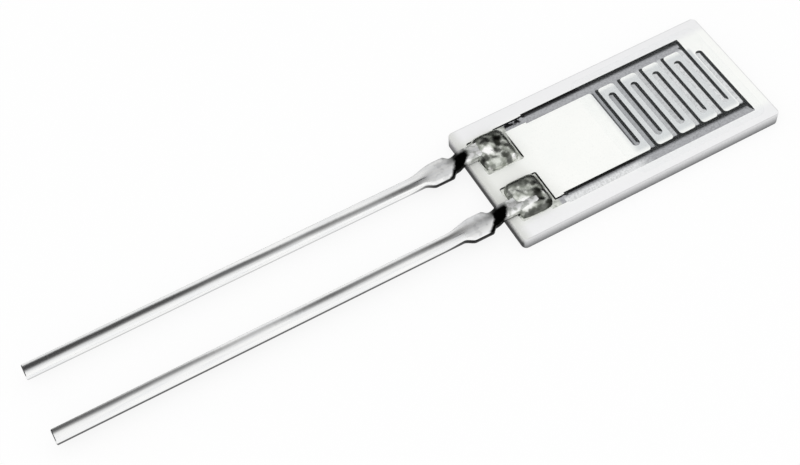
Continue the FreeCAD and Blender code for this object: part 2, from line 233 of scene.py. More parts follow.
def mix_colour(recipe, factor, first, second, blend="MIX"):
    """First colour where the factor is 0, second where it is 1."""
    settings = {"data_type": "RGBA", "blend_type": blend}
    sockets = {MIX_FACTOR: factor, MIX_FIRST: first, MIX_SECOND: second}
    return recipe.node("Mix", settings, sockets, output=MIX_RESULT)


def bumps(recipe, height, depth, strength=1.0):
    """Normal of a surface whose height wire is worth depth millimetres."""
    sockets = {"Height": height, "Distance": depth * MM, "Strength": strength}
    return recipe.node("Bump", sockets=sockets)


def new_finish(name, build):
    """Material whose nodes are laid out by a build function, which returns its last shader."""
    material = bpy.data.materials.new(name)
    material.use_nodes = True
    recipe = Recipe(material.node_tree)
    shader = build(recipe)
    recipe.node("OutputMaterial", sockets={"Surface": shader})
    print(f"finish {name}: {len(material.node_tree.nodes)} nodes")
    return material


print("paper white in linear light:", colour(255, 255, 255))

# %% [markdown]
# ## Alumina
# The plate is fired alumina: nearly white, with grains a few hundredths of a millimetre across and
# a faint cloudiness. Its walls were scored by a laser and snapped. The upper third of a wall keeps
# the row of round laser pits, the rest is broken stone, and the ends get painted shade. It could
# be painted on an unfolded picture, but all of it follows the plate's own measures, so it is read
# from the coordinates: the surface's direction finds the walls, and x or y runs along them.
# A pair of numbers holds the two places between which something fades. Places along the plate
# count from its lead end, and those across it from its middle line.

# %% The plate's broad faces
GRAIN_SIZE = 0.035
GRAIN_SHOWS = (0.55, 0.8)
CLOUD_SIZE = 0.9
CLOUD_BEND = 1.2
HANDLED = (2.8, 1.8)
MARGIN = (1.75, 2.1)
# Where the painted shade on the ceramic under the comb starts, ends and fades at the sides.
COMB_SHADE_STARTS = (4.9, 5.2)
COMB_SHADE_ENDS = (9.1, 9.0)
COMB_SHADE_SIDES = (1.5, 1.3)
PRINTED_SIDE = (0.4, 0.9)
WORN_EDGE = 0.06
FLUX_REACH = 0.45
FLUX_SHARE = 0.8
STONE = {
    "clear": colour(255, 255, 252),
    "cloudy": colour(247, 249, 246),
    "handled": colour(237, 238, 234),
    "margin": colour(240, 240, 241),
    # The next colour is painted shade between the comb's fingers.
    "comb_shade": colour(214, 217, 218),
    "worn": colour(198, 198, 199),
    "fluxed": colour(206, 207, 202),
    "grain": colour(238, 240, 238),
}


def stone_face(recipe, along, across, upward, clouds, grain):
    """Colour of the broad faces: handled at the leads, painted shade under the comb, worn at the rims."""
    from_end = along - LEAD_END
    face = mix_colour(recipe, clouds, STONE["clear"], STONE["cloudy"])
    handled = ramp(recipe, from_end + clouds * CLOUD_BEND, *HANDLED)
    face = mix_colour(recipe, handled, face, STONE["handled"])
    face = mix_colour(recipe, ramp(recipe, across.size(), *MARGIN), face, STONE["margin"])
    # Painted shade on the ceramic between the comb's fingers, under the film.
    comb_shade = ramp(recipe, from_end, *COMB_SHADE_STARTS) * ramp(recipe, from_end, *COMB_SHADE_ENDS)
    comb_shade = comb_shade * ramp(recipe, across.size(), *COMB_SHADE_SIDES) * ramp(recipe, upward, *PRINTED_SIDE)
    face = mix_colour(recipe, comb_shade, face, STONE["comb_shade"])
    worn_end = ramp(recipe, along.size(), FAR_END - WORN_EDGE, FAR_END)
    worn_side = ramp(recipe, across.size(), plate_high.y - WORN_EDGE, plate_high.y)
    worn = ramp(recipe, worn_end + worn_side, 0, 1)
    face = mix_colour(recipe, worn, face, STONE["worn"])
    fluxed = ramp(recipe, from_end, FLUX_REACH, 0, 0, FLUX_SHARE)
    face = mix_colour(recipe, fluxed, face, STONE["fluxed"])
    return mix_colour(recipe, ramp(recipe, grain, *GRAIN_SHOWS), face, STONE["grain"])


print("stone colours:", ", ".join(STONE))

# %% [markdown]
# A wall gets less light the lower it lies, so its colour is painted darker downwards, with a
# painted contact shadow where it meets the table. Both ends of the plate get painted shade, nearly
# black at the bottom and less so towards the left corner. Each of these is one more layer over the
# last, which is easier to tune than a single ramp with many stops.

# %% The plate's snapped walls
# Sizes of the painted contact shadow and of the painted shade on the two ends.
CONTACT_SHADOW_HEIGHT = 0.05
END_SHADE_DEPTH = 0.6
END_SHADE_BEND = 0.8
END_SHADE_FADES = (1.7, 2.3)
END_SHADE_LEFT = 0.45
# High to low is painted shade down a wall; the other three are painted contact shadow and end shade.
WALL = {
    "high": colour(226, 226, 227),
    "low": colour(84, 85, 87),
    "contact_shadow": colour(64, 65, 67),
    "end_shade_high": colour(206, 206, 204),
    "end_shade_low": colour(36, 36, 37),
}


def stone_wall(recipe, across, height, clouds, end_share):
    """Wall colour: painted shade downwards, a painted contact shadow, and painted shade on the ends."""
    down = 1 - height * (1 / PLATE_TOP)
    # Painted shade, darker towards the foot of the wall.
    side = mix_colour(recipe, down, WALL["high"], WALL["low"])
    # Painted contact shadow where the wall meets the table.
    side = mix_colour(recipe, ramp(recipe, height, CONTACT_SHADOW_HEIGHT, CONTACT_SHADOW_HEIGHT / 3), side, WALL["contact_shadow"])
    # Painted shade on the two ends, lighter towards the left corner.
    end = mix_colour(recipe, ramp(recipe, down, 0, END_SHADE_DEPTH), WALL["end_shade_high"], WALL["end_shade_low"])
    end_shade = ramp(recipe, across + clouds * END_SHADE_BEND, *END_SHADE_FADES, 1, END_SHADE_LEFT)
    end = mix_colour(recipe, end_shade, side, end)
    return mix_colour(recipe, end_share, side, end)


print("wall colours:", ", ".join(WALL))

# %% [markdown]
# The surface's direction tells which of the two colours a place gets: upright parts take the
# wall's, level parts the face's. The laser pits are a sine wave along the wall, used as a height,
# because real dents would take thousands of faces for something a tenth of a millimetre wide.

# %% Alumina finish
WALL_SLOPE = (0.9, 0.4)
END_TURN = (-0.2, 0.5)
PIT_PITCH = 0.13
PIT_DEPTH = 2
SCORED_FROM = 0.33
SCORED_EDGE = 0.02
GRAIN_DEPTH = 0.003


def build_alumina(recipe):
    place = place_of(recipe)
    along, across, height = measures_of(recipe, place)
    ahead, aside, upward = normal_of(recipe)
    grain = spots(recipe, place, GRAIN_SIZE)
    clouds = spots(recipe, place, CLOUD_SIZE, detail=4)
    wall = ramp(recipe, upward.size(), *WALL_SLOPE)
    end_share = ramp(recipe, ahead.size() - aside.size(), *END_TURN)
    face = stone_face(recipe, along, across, upward, clouds, grain)
    walls = stone_wall(recipe, across, height, clouds, end_share)
    turns = (along + across) * (math.tau / PIT_PITCH)
    pits = recipe.node("Math", {"operation": "SINE"}, {0: turns})
    scored = ramp(recipe, height, SCORED_FROM - SCORED_EDGE, SCORED_FROM)
    relief = grain + wall * scored * pits * PIT_DEPTH
    sockets = {
        "Base Color": mix_colour(recipe, wall, face, walls),
        "Roughness": 0.42 + 0.2 * wall + 0.1 * grain,
        "Normal": bumps(recipe, relief, GRAIN_DEPTH, strength=0.5),
    }
    return recipe.node("BsdfPrincipled", sockets=sockets)


alumina = new_finish("alumina", build_alumina)

# %% [markdown]
# ## Silver-palladium print
# The pads and combs are printed as a metal paste through a fine screen and fired. The result is a
# satin metal, a little darker where it is thin, with the grain of the paste in it. A picture of the
# print could be laid over the plate, but one recipe is enough for pads and combs: it is given its
# greys and the stretch along which the paste thins out on a comb and takes painted shade on a pad's
# tail. The combs differ in three places. The bars are greyer than the fingers, the right bar is
# lighter at its start, and the edge of the first finger is dark.

# %% Three tones on the combs
BAR_STARTS = (1.42, 1.56)
LIGHT_BAR_EDGE = (-1.68, -1.84)
LIGHT_BAR_STRETCH = (5.4, 4.6)
FIRST_EDGE = (5.15, 5.11)
FINGERS_END = (1.5, 1.4)


def comb_tones(recipe, from_end, across, metal):
    """Greys the bars, brightens the right bar's first stretch and darkens the first finger's edge."""
    bar = ramp(recipe, across.size(), *BAR_STARTS)
    metal = mix_colour(recipe, bar, metal, colour(170, 171, 174))
    lighter_bar = ramp(recipe, across, *LIGHT_BAR_EDGE) * ramp(recipe, from_end, *LIGHT_BAR_STRETCH)
    metal = mix_colour(recipe, lighter_bar, metal, colour(228, 229, 230))
    edge = ramp(recipe, from_end, *FIRST_EDGE) * ramp(recipe, across.size(), *FINGERS_END)
    return mix_colour(recipe, edge, metal, colour(90, 91, 94))


print(f"the bars turn grey {BAR_STARTS[0]:.2f} mm from the middle line")

# %% [markdown]
# The paste comes in two greys that lie in soft patches, and its grain darkens it a little. The
# left pad's tail gets near-black painted shade, broken by pale patches, while the right one is
# pale all over.
# A function that returns a build function lets two finishes share all this and differ in a few
# values.

# %% Print finishes
PASTE_GRAIN = 0.07
PASTE_PATCH = 0.25
PATCH_SHOWS = (0.3, 0.7)
PASTE_GRAIN_SHOWS = (0.4, 0.7)
GRAIN_TINT = colour(232, 232, 232)
# The next three set the pale gaps in the painted shade on the left pad's tail.
TAIL_GAP_SIZE = 0.13
TAIL_GAP_SHOWS = (0.46, 0.58)
TAIL_SHADE_INNER = (1.72, 1.6)
COMB_THINS = (8.6, 4.7)
# Where the painted shade on the pads' tails begins.
TAIL_SHADE_FROM = (1.74, 1.84)


def broken_tail_shade(recipe, place, across, thin_and_shaded, pale_gaps):
    """Near-black painted shade on a tail, which gives way to pale print in patches and along its inner
    edge.
    """
    broken = ramp(recipe, spots(recipe, place, TAIL_GAP_SIZE), *TAIL_GAP_SHOWS)
    inner = ramp(recipe, across, *TAIL_SHADE_INNER)
    return mix_colour(recipe, broken + inner * (1 - broken), thin_and_shaded, pale_gaps)


def print_recipe(light, dark, thin_and_shaded, thins_and_shades, pale_gaps=None, bars=False):
    """Build function of a fired metal print, greyer between two places: thinner paste on a comb, painted
    shade on a pad's tail.
    """
    def build(recipe):
        place = place_of(recipe)
        along, across = measures_of(recipe, place)[:2]
        from_end = along - LEAD_END
        grain = spots(recipe, place, PASTE_GRAIN)
        patches = spots(recipe, place, PASTE_PATCH, detail=3)
        paste = mix_colour(recipe, ramp(recipe, patches, *PATCH_SHOWS), light, dark)
        # On the pads' tails: near-black painted shade, broken by pale print.
        worn = broken_tail_shade(recipe, place, across, thin_and_shaded, pale_gaps) if pale_gaps else thin_and_shaded
        metal = mix_colour(recipe, ramp(recipe, from_end, *thins_and_shades), paste, worn)
        if bars:
            metal = comb_tones(recipe, from_end, across, metal)
        shown = ramp(recipe, grain, *PASTE_GRAIN_SHOWS)
        sockets = {
            "Base Color": mix_colour(recipe, shown, metal, GRAIN_TINT, "MULTIPLY"),
            "Metallic": 1.0,
            "Roughness": 0.08 + 0.08 * grain,
            "Normal": bumps(recipe, grain, GRAIN_DEPTH, strength=0.3),
        }
        return recipe.node("BsdfPrincipled", sockets=sockets)
    return build


comb_recipe = print_recipe(
    light=colour(226, 227, 228), dark=colour(210, 212, 213), thin_and_shaded=colour(156, 158, 161),
    thins_and_shades=COMB_THINS, bars=True,
)
# The pad's near-black colour is painted shade on its tail.
pad_recipe = print_recipe(
    light=colour(226, 228, 222), dark=colour(166, 169, 162), thin_and_shaded=colour(30, 30, 31),
    thins_and_shades=TAIL_SHADE_FROM, pale_gaps=colour(168, 169, 172),
)
comb_print = new_finish("comb_print", comb_recipe)
pad_print = new_finish("pad_print", pad_recipe)

# %% [markdown]
# ## Tinned leads
# The leads are bright tin. They were dipped and pulled out, so their sheen varies in long streaks
# along the strip. The joggle is black where it meets the plate: partly soot of burnt flux, partly
# painted shade of the steep step. A black shell laid over it would look stuck on, so the black is
# a mask in the finish. A wire follows the strip with the black's slant and its frayed rim, and the
# black lies between two of its values.

# %% Soot and painted shade on the joggle
LEAD_MIDDLE = 1.27
SOOT_SHADE_START = 0.03
SOOT_SHADE_END = -0.34
SOOT_SHADE_SOFT = 0.13
SOOT_SHADE_SLANT = 0.4
SOOT_SHADE_CURVE = 1.2
SOOT_SHADE_FRAY = 0.2
SOOT_SHADE_SIZE = 0.16
SOOT_SHADE_THINS = (0.12, 0.27)
SOOT_SHADE_LEFT = 0.4


def soot_shade_run(recipe, place, from_end, aside):
    """Distance from the plate's end that follows the slant and the frayed rim of the black on the joggle.
    """
    slanted = from_end - aside * SOOT_SHADE_SLANT + aside * aside * SOOT_SHADE_CURVE
    return slanted + (spots(recipe, place, SOOT_SHADE_SIZE) - 0.5) * SOOT_SHADE_FRAY


def soot_and_shade(recipe, run, aside):
    """1 where the joggle is black: soot, and painted shade of the steep step."""
    plate_side = ramp(recipe, run, SOOT_SHADE_START + SOOT_SHADE_SOFT, SOOT_SHADE_START)
    leg_side = ramp(recipe, run, SOOT_SHADE_END - SOOT_SHADE_SOFT, SOOT_SHADE_END)
    return plate_side * leg_side * ramp(recipe, aside, *SOOT_SHADE_THINS, 1, SOOT_SHADE_LEFT)


# The black on the joggle is soot and painted shade of the steep step.
print(f"the burn is {SOOT_SHADE_START - SOOT_SHADE_END:.2f} mm long")

# %% [markdown]
# A thin dark line of painted shade runs along the foot of the strip's flanks. Those faces could
# have a material of their own, but the surface's direction already tells where the flank is, and
# the height tells how far up the painted shade reaches.

# %% Painted shade along the flanks
FOOT_SHADE_HEIGHT = 0.45
FOOT_SHADE_SHOULDER = 0.1
FOOT_SHADE_RIGHT = 0.035
FOOT_SHADE_SOFT = 0.02
FOOT_SHADE_SHARE = 0.62
FOOT_SHADE_UNLIKE = 0.28
FLANK_SLOPE = (0.5, 0.3)
FLANK_CORNER = 0.1
SHOULDER = (-2.4, -1.2)
CORNER = (-0.95, -0.7)


def bare_foot(recipe, height, upward, lead_sign, shoulder, corner):
    """1 low on a flank, where shade is painted along its foot. The line is stronger on the right lead."""
    flank = ramp(recipe, upward - corner * FLANK_CORNER, *FLANK_SLOPE)
    bare_top = FOOT_SHADE_HEIGHT + shoulder * FOOT_SHADE_SHOULDER + ramp(recipe, lead_sign, 1, -1, 0, FOOT_SHADE_RIGHT)
    low = ramp(recipe, height - bare_top, FOOT_SHADE_SOFT, -FOOT_SHADE_SOFT)
    share = FOOT_SHADE_SHARE - FOOT_SHADE_UNLIKE * lead_sign
    return flank * low * (share + (1 - share) * shoulder)


# The dark foot of the flanks is painted shade.
print(f"the flanks are bare up to {FOOT_SHADE_HEIGHT} mm above the table")

# %% [markdown]
# The finish is put together like a painting, from the lowest layer up: bright tin, streaks, solder
# that has wetted the tongue, blotches on the shoulder, painted shade beside the joggle, painted shade
# along the flanks' foot, and soot with painted shade on the joggle.

# %% Tinned lead finish
STREAK_SIZE = 0.1
STREAK_STRETCH = (16, 1, 1)
STREAK_SHOWS = (0.35, 0.7)
STREAK_DEPTH = 0.05
RIPPLE_LENGTH = 0.5
RIPPLE_STRETCH = (3, 1, 1)
RIPPLE_DEPTH = 0.006
BLOTCH_SIZE = 0.2
WETTED_SHOWS = (0.4, 0.62)
WETTED_FROM = (-0.1, 0.1)
WETTED_SHARE = 0.8
BLOTCH_SHOWS = (0.5, 0.62)
BLOTCH_FROM = (-1.5, -1)
BLOTCH_SHARE = 0.3
# Where the painted shade on the shoulder's far side, beside the joggle, lies.
SIDE_SHADE_RUN = (-0.8, -0.4)
SIDE_SHADE_SIDE = (-0.1, 0.15)
SIDE_SHADE_ENDS = (-0.1, -0.25)
# The last three colours are painted shade; the darkest is also partly soot.
TIN = {
    "bright": colour(250, 250, 249),
    "streak": colour(242, 243, 244),
    "wetted": colour(176, 180, 172),
    "blotch": colour(180, 181, 182),
    "side_shade": colour(128, 129, 128),
    "bare": colour(22, 22, 23),
    "soot_and_shade": colour(13, 13, 12),
}


def tin_sheen(recipe, place, from_end, streaks):
    """Colour of clean tin: streaked, wetted by solder on the tongue and blotched on the shoulder."""
    blotches = spots(recipe, place, BLOTCH_SIZE, detail=2)
    sheen = mix_colour(recipe, ramp(recipe, streaks, *STREAK_SHOWS), TIN["bright"], TIN["streak"])
    wetted = ramp(recipe, blotches, *WETTED_SHOWS) * ramp(recipe, from_end, *WETTED_FROM)
    sheen = mix_colour(recipe, wetted * WETTED_SHARE, sheen, TIN["wetted"])
    blotched = ramp(recipe, blotches, *BLOTCH_SHOWS) * ramp(recipe, from_end, *BLOTCH_FROM)
    return mix_colour(recipe, blotched * BLOTCH_SHARE, sheen, TIN["blotch"])


def build_tinned(recipe):
    place = place_of(recipe)
    along, across, height = measures_of(recipe, place)
    upward = normal_of(recipe)[2]
    from_end = along - LEAD_END
    lead_sign = recipe.node("Math", {"operation": "SIGN"}, {0: across})
    aside = across - lead_sign * LEAD_MIDDLE
    shoulder = ramp(recipe, from_end, *SHOULDER)
    corner = ramp(recipe, from_end, *CORNER)
    run = soot_shade_run(recipe, place, from_end, aside)
    # Soot and painted shade on the joggle.
    burnt_and_shaded = soot_and_shade(recipe, run, aside)
    # Painted shade along the foot of the flanks.
    bare = bare_foot(recipe, height, upward, lead_sign, shoulder, corner)
    streaks = spots(recipe, place, STREAK_SIZE, detail=2, stretch=STREAK_STRETCH)
    ripples = spots(recipe, place, RIPPLE_LENGTH, detail=1, stretch=RIPPLE_STRETCH)

    metal = tin_sheen(recipe, place, from_end, streaks)
    # Painted shade on the far side of the shoulder, beside the joggle.
    side_shade = ramp(recipe, run, *SIDE_SHADE_RUN) * ramp(recipe, aside, *SIDE_SHADE_SIDE)
    metal = mix_colour(recipe, side_shade * ramp(recipe, from_end, *SIDE_SHADE_ENDS), metal, TIN["side_shade"])
    # Painted shade along the foot of the flanks.
    metal = mix_colour(recipe, bare, metal, TIN["bare"])
    # Soot and painted shade of the step, over every layer below.
    metal = mix_colour(recipe, burnt_and_shaded, metal, TIN["soot_and_shade"])
    sockets = {
        "Base Color": metal,
        "Metallic": 1.0,
        "Roughness": 0.16 + 0.06 * streaks + 0.1 * shoulder + 0.2 * burnt_and_shaded,
        "Normal": bumps(recipe, ripples + STREAK_DEPTH * streaks, RIPPLE_DEPTH, strength=0.5),
    }
    return recipe.node("BsdfPrincipled", sockets=sockets)


tinned_lead = new_finish("tinned_lead", build_tinned)

# %% [markdown]
# ## Solder
# The solder froze where it lay. It is grey and frosted where it cooled slowly, and it has dark
# pools: partly flux that has dried on it, partly painted dark reflection. Noise alone would put the
# pools anywhere, so they are a short list of places, each with a radius and a strength, and noise
# only bends their outlines so that they don't look stamped. A second list names painted glints,
# where a highlight is painted on the solder. A place is a distance from the plate's lead end and
# one across from its middle line.

# %% Places of the dark pools and the painted glints
# Dark pools: partly flux, partly painted dark reflection.
FLUX_AND_REFLECTION_POOLS = [
    (1.28, 1.36, 0.15, 1.0), (1.18, 1.16, 0.14, 1.0), (1.03, 0.92, 0.12, 0.9), (1.16, 0.62, 0.12, 0.9),
    (0.36, 0.76, 0.13, 0.9), (0.54, 0.8, 0.1, 0.8), (0.43, 1.26, 0.07, 0.6), (0.84, 1.42, 0.14, 0.6),
    (1.2, 0.42, 0.1, 0.8), (1.5, 1.2, 0.07, 0.6), (0.6, 0.44, 0.08, 0.4),
    (1.27, -1.18, 0.13, 1.0), (1.16, -1.38, 0.18, 0.85), (1.2, -1.6, 0.12, 0.4), (1.0, -0.62, 0.08, 0.5),
    (1.16, -0.72, 0.09, 0.7), (1.32, -0.84, 0.1, 0.8), (0.34, -0.88, 0.09, 0.6), (1.44, -1.72, 0.13, 1.0),
]
# Painted glints: highlights painted into the solder's colour.
PAINTED_GLINTS = [(0.76, 1.04, 0.17), (0.45, 0.42, 0.1), (1.4, 0.44, 0.08), (0.72, -1.4, 0.24), (1.5, -1.3, 0.08)]
POOL_EDGE = (0.2, 2.2)
PAINTED_GLINT_EDGE = (0.3, 1.8)


def away_from(along, across, spot_along, spot_across, radius):
    """Squared distance from a spot, in its own radii."""
    ahead = (along - LEAD_END - spot_along) * (1 / radius)
    aside = (across - spot_across) * (1 / radius)
    return ahead * ahead + aside * aside


# The pools are partly flux and partly painted dark reflection; the glints are painted highlights.
print(f"{len(FLUX_AND_REFLECTION_POOLS)} pools of flux, {len(PAINTED_GLINTS)} glints")

# %% [markdown]
# The joint is layered like the lead: grey solder with frost, then painted glints, and on top dark
# pools of flux and painted dark reflection, which also cover the outer foot of the right mound.
# Steep parts are rougher than the back.

# %% Solder finish
FROST_SIZE = 0.24
FROST_SHOWS = (0.38, 0.62)
FROST_DEPTH = 0.012
BEND_SIZE = 0.15
POOL_BEND = 0.1
# Flux and painted dark reflection on the right mound's steep outer foot.
FLUX_AND_REFLECTION_FOOT = (-1.62, -1.72)
FOOT_LEFT = 0.25
STEEP_SLOPE = (0.96, 0.75)
SOLDER = {
    # The brightest colour is that of the painted glints; the darkest is flux and painted dark reflection.
    "bright": colour(252, 252, 250),
    "clear": colour(220, 223, 216),
    "frost": colour(166, 170, 161),
    "flux_and_reflection": colour(52, 53, 49),
}


def bent_place(recipe, place):
    """The place, moved about by noise, so that what is drawn round it has wavy outlines."""
    bend = recipe.node("TexNoise", sockets={"Vector": place, "Scale": 1 / (BEND_SIZE * MM)}, output="Color")
    centred = recipe.node("VectorMath", {"operation": "SUBTRACT"}, {0: bend, 1: (0.5, 0.5, 0.5)})
    reach = 2 * POOL_BEND * MM
    moved = recipe.node("VectorMath", {"operation": "SCALE"}, {0: centred, "Scale": reach})
    return recipe.node("VectorMath", {"operation": "ADD"}, {0: place, 1: moved})


def build_solder(recipe):
    place = place_of(recipe)
    along, across = measures_of(recipe, bent_place(recipe, place))[:2]
    # Flux and painted dark reflection on the right mound's outer foot and in the pools.
    unpooled = ramp(recipe, across, *FLUX_AND_REFLECTION_FOOT, 1, FOOT_LEFT)
    for *spot, strength in FLUX_AND_REFLECTION_POOLS:
        away = away_from(along, across, *spot)
        unpooled = unpooled * ramp(recipe, away, *POOL_EDGE, 1 - strength, 1)
    # Painted glints, where the colour is set to the brightest.
    unglinted = 1.0
    for spot in PAINTED_GLINTS:
        unglinted = unglinted * ramp(recipe, away_from(along, across, *spot), *PAINTED_GLINT_EDGE)
    frost = spots(recipe, place, FROST_SIZE, detail=3)
    frosted = ramp(recipe, frost, *FROST_SHOWS)
    metal = mix_colour(recipe, frosted, SOLDER["clear"], SOLDER["frost"])
    metal = mix_colour(recipe, unglinted, SOLDER["bright"], metal)
    steep = ramp(recipe, normal_of(recipe)[2], *STEEP_SLOPE)
    sockets = {
        "Base Color": mix_colour(recipe, unpooled, SOLDER["flux_and_reflection"], metal),
        "Metallic": 1.0,
        "Roughness": 0.12 + (0.1 + 0.1 * frosted) * unglinted + 0.3 * steep,
        "Normal": bumps(recipe, frost, FROST_DEPTH, strength=0.5),
    }
    return recipe.node("BsdfPrincipled", sockets=sockets)


solder = new_finish("solder", build_solder)

# %% [markdown]
# ## The clear film
# The film that senses humidity is a thin clear polymer, brushed over the comb and dried. Glass with
# real refraction would be truer to it, but it is mostly seen as a slight veil and a gloss. So it is
# a smooth shader with a low alpha that grows a little where the polymer dried in thicker clouds.

# %% Film finish
VEIL_SIZE = 0.8
THINNEST_VEIL = 0.01
VEIL_GROWS = 0.03


def build_film(recipe):
    veil = spots(recipe, place_of(recipe), VEIL_SIZE, detail=3)
    sockets = {
        "Base Color": mix_colour(recipe, veil, colour(240, 246, 246), colour(226, 236, 237)),
        "Roughness": 0.12 + 0.1 * veil,
        "Alpha": THINNEST_VEIL + VEIL_GROWS * veil,
    }
    return recipe.node("BsdfPrincipled", sockets=sockets)


clear_film = new_finish("clear_film", build_film)

# %% [markdown]
# ## From a mesh in millimetres to a finished piece
# Every piece ends the same way: scaled to metres, its faces turned outwards, smooth except across
# real edges, given its finish and tied to the frame's body. The imported node it stands for is
# hidden.

# %% Finishing a piece
SHARP_ANGLE = 40


def finish_piece(bm, name, material, replaced):
    """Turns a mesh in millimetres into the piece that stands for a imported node."""
    bmesh.ops.scale(bm, vec=(MM, MM, MM), verts=bm.verts)
    bmesh.ops.recalc_face_normals(bm, faces=bm.faces)
    mesh = bpy.data.meshes.new(name)
    for face in bm.faces:
        face.smooth = True
    bm.to_mesh(mesh)
    bm.free()
    mesh.set_sharp_from_angle(angle=math.radians(SHARP_ANGLE))
    mesh.materials.append(material)
    piece = bpy.data.objects.new(name, mesh)
    bpy.context.collection.objects.link(piece)
    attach(piece, "root")
    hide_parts(replaced)
    print(f"{name}: {len(mesh.polygons)} faces")
    return piece


print(f"edges sharper than {SHARP_ANGLE} degrees stay sharp")

# %% [markdown]
# ## The plate
# A block would do, but the real plate has small round corners and slightly worn edges, and those
# catch the light. A rectangle is drawn as one face, its corners are beveled as vertices, which
# gives exact arcs, and the face is then extruded and its rims beveled.

# %% Outlines with round corners
WELD = 0.001


def round_outline(bm, points, height, radii, segments=10):
    """Flat face through corner points. Each corner gets its own radius, or stays sharp at 0."""
    corners = [bm.verts.new((x, y, height)) for x, y in points]
    outline = bm.faces.new(corners)
    for radius in sorted(set(radii) - {0}):
        chosen = [corner for corner, own in zip(corners, radii) if own == radius]
        bmesh.ops.bevel(
            bm, geom=chosen, offset=radius, offset_type="OFFSET", segments=segments,
            profile=0.5, affect="VERTICES", material=-1, clamp_overlap=False,
        )
    bmesh.ops.remove_doubles(bm, verts=bm.verts, dist=WELD)
    return next(iter(bm.faces))


def push(bm, face, offset):
    """Extrudes a face by an offset and returns the new face."""
    grown = bmesh.ops.extrude_face_region(bm, geom=[face])["geom"]
    moved = [item for item in grown if isinstance(item, bmesh.types.BMVert)]
    bmesh.ops.translate(bm, vec=offset, verts=moved)
    return [item for item in grown if isinstance(item, bmesh.types.BMFace)][0]


print(f"points of an outline closer than {WELD} mm are merged")

# %% [markdown]
# The plate's corners are much rounder than its edges, so they are made in the outline and the edges
# afterwards. Only the rims of the two broad faces are worn: the edges whose ends are equally high.

# %% Make the plate
PLATE_CORNER = 0.18
PLATE_EDGE = 0.03


def make_plate():
    """The ceramic plate, with round corners and worn rims."""
    near, far = plate_low.y, plate_high.y
    points = [(LEAD_END, near), (FAR_END, near), (FAR_END, far), (LEAD_END, far)]
    bm = bmesh.new()
    outline = round_outline(bm, points, 0, [PLATE_CORNER] * 4)
    push(bm, outline, (0, 0, PLATE_TOP))
    rims = [edge for edge in bm.edges if edge.verts[0].co.z == edge.verts[1].co.z]
    bmesh.ops.bevel(
        bm, geom=rims, offset=PLATE_EDGE, offset_type="OFFSET", segments=3,
        profile=0.5, affect="EDGES", material=-1,
    )
    return finish_piece(bm, "ceramic_plate", alumina, "ceramic_substrate")


make_plate()

# %% [markdown]
# ## Prints with a rounded shoulder
# Fired paste isn't a flat sticker. It is thickest along its middle and curves down to nothing at
# its rim, and that slope is what draws the dark line along one side of every finger. A bevel would
# make it an even arc, but the paste falls in a long slope that is steepest at the rim. So the
# outline is lifted a hair and then inset ring by ring, each ring higher than the last. A last,
# level ring keeps the smooth shading of the slope from spilling over the flat top. A round corner
# has to be wider than the slope, or its arc would turn inside out as it shrinks.

# %% Dome an outline
DOME_POWER = 1.2
HAIR_SHARE = 0.06
SETTLE = 0.004


def inset(bm, face, width):
    """Shrinks a face inwards by the same width all round."""
    bmesh.ops.inset_region(bm, faces=[face], thickness=width, use_boundary=True, use_even_offset=True)


def dome(bm, outline, thickness, reach, rings=6):
    """Raises an outline into a print that slopes down to its rim over the given reach."""
    hair = thickness * HAIR_SHARE
    top = push(bm, outline, (0, 0, hair))
    for ring in range(rings):
        left_before = 1 - ring / rings
        left_after = 1 - (ring + 1) / rings
        rise = (thickness - hair) * (left_before ** DOME_POWER - left_after ** DOME_POWER)
        inset(bm, top, reach / rings)
        bmesh.ops.translate(bm, vec=(0, 0, rise), verts=top.verts)
    inset(bm, top, SETTLE)


print(f"a print starts {HAIR_SHARE:.0%} of its thickness above the plate")

# %% [markdown]
# ## The solder pads
# Each pad is a printed square with a narrow tail that reaches the comb. The tail runs along the
# square's outer side. Two shapes laid over each other would be quicker to draw, but they would
# leave a ridge where they cross, so the square and the tail are one outline.

# %% Make the pads
PAD_LENGTH = 1.4
TAIL_WIDTH = 0.32
PAD_REACH = 0.07
PAD_CORNER = 0.08
SQUARE_INSET = 0.07


def make_pad(side_name, side):
    """One pad. Its outline is drawn on the +Y side and mirrored for the right one."""
    low, high = box_mm(f"{side_name}_solder_pad")
    inner = min(abs(low.y), abs(high.y))
    outer = max(abs(low.y), abs(high.y))
    pad_end = low.x + PAD_LENGTH
    pad_outer = outer - SQUARE_INSET
    points = [
        (low.x, inner), (pad_end, inner), (pad_end, outer - TAIL_WIDTH),
        (high.x, outer - TAIL_WIDTH), (high.x, outer), (pad_end - TAIL_WIDTH, outer),
        (pad_end - TAIL_WIDTH, pad_outer), (low.x, pad_outer),
    ]
    radii = [PAD_CORNER, PAD_CORNER, 0, 0, 0, 0, 0, PAD_CORNER]
    bm = bmesh.new()
    outline = round_outline(bm, [(x, side * y) for x, y in points], PLATE_TOP, radii, segments=6)
    dome(bm, outline, high.z - low.z, PAD_REACH)
    return finish_piece(bm, f"{side_name}_pad_print", pad_print, f"{side_name}_solder_pad")


for side_name, side in SIDES.items():
    make_pad(side_name, side)

# %% [markdown]
# ## The combs
# A comb is one conductor: a bar along the plate's edge and five fingers that reach between the
# fingers of its partner. It could be joined from six strips, but a print has no seams, so a loop
# lists the corners of one outline finger by finger. Finger tips are full half rounds, and the
# corners where a finger leaves the bar are rounded so that the paste prints well. The bar is
# thicker along its middle, and its end lies on the pad's tail.

# %% Make the combs
FINGERS = 5
FINGER_WIDTH = 0.27
FINGER_GAP = 0.175
BAR_WIDTH = 0.44
ROOT_RADIUS = 0.12
TIP_RADIUS = 0.1349
LAP = 0.12
LAP_INSET = 0.06
COMB_THICK = 0.027
COMB_REACH = 0.13
BAR_CROWN = 0.02
CROWN_CUTS = 6


